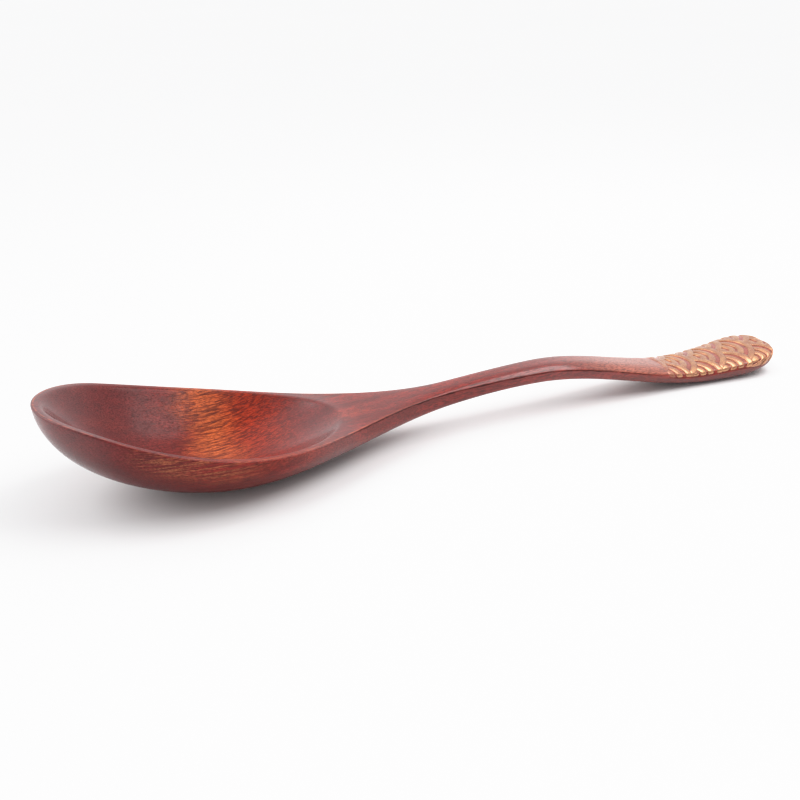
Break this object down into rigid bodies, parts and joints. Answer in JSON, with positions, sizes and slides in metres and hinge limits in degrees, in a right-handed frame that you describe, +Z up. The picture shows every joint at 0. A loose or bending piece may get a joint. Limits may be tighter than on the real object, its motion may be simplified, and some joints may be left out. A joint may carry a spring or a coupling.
{
  "type": "wooden soup spoon",
  "caption": "Wooden soup spoon with a deep egg-shaped bowl, a slender arched stem and a flared handle end with a raised wave-scale relief in gold.",
  "frame": {"origin": "on the table, under the middle of the spoon's length and width", "axes": "+X from the bowl's tip to the handle's end, +Y to the left of that, +Z up from the table"},
  "size_m": [0.19, 0.042, 0.0244],
  "materials": {
    "lacquered_wood": "red-brown wood with fine dark pores under clear satin lacquer",
    "gold_lacquer": "satin gold lacquer over the relief, thin at its edges"
  },
  "bodies": {
    "root": {"spoon_body": "lacquered_wood", "wave_middle_1": "gold_lacquer", "wave_middle_2": "gold_lacquer", "wave_middle_3": "gold_lacquer", "wave_middle_4": "gold_lacquer", "wave_middle_5": "gold_lacquer", "wave_right_1": "gold_lacquer", "wave_right_2": "gold_lacquer", "wave_right_3": "gold_lacquer", "wave_right_4": "gold_lacquer", "wave_left_1": "gold_lacquer", "wave_left_2": "gold_lacquer", "wave_left_3": "gold_lacquer", "wave_left_4": "gold_lacquer"}
  },
  "joints": []
}
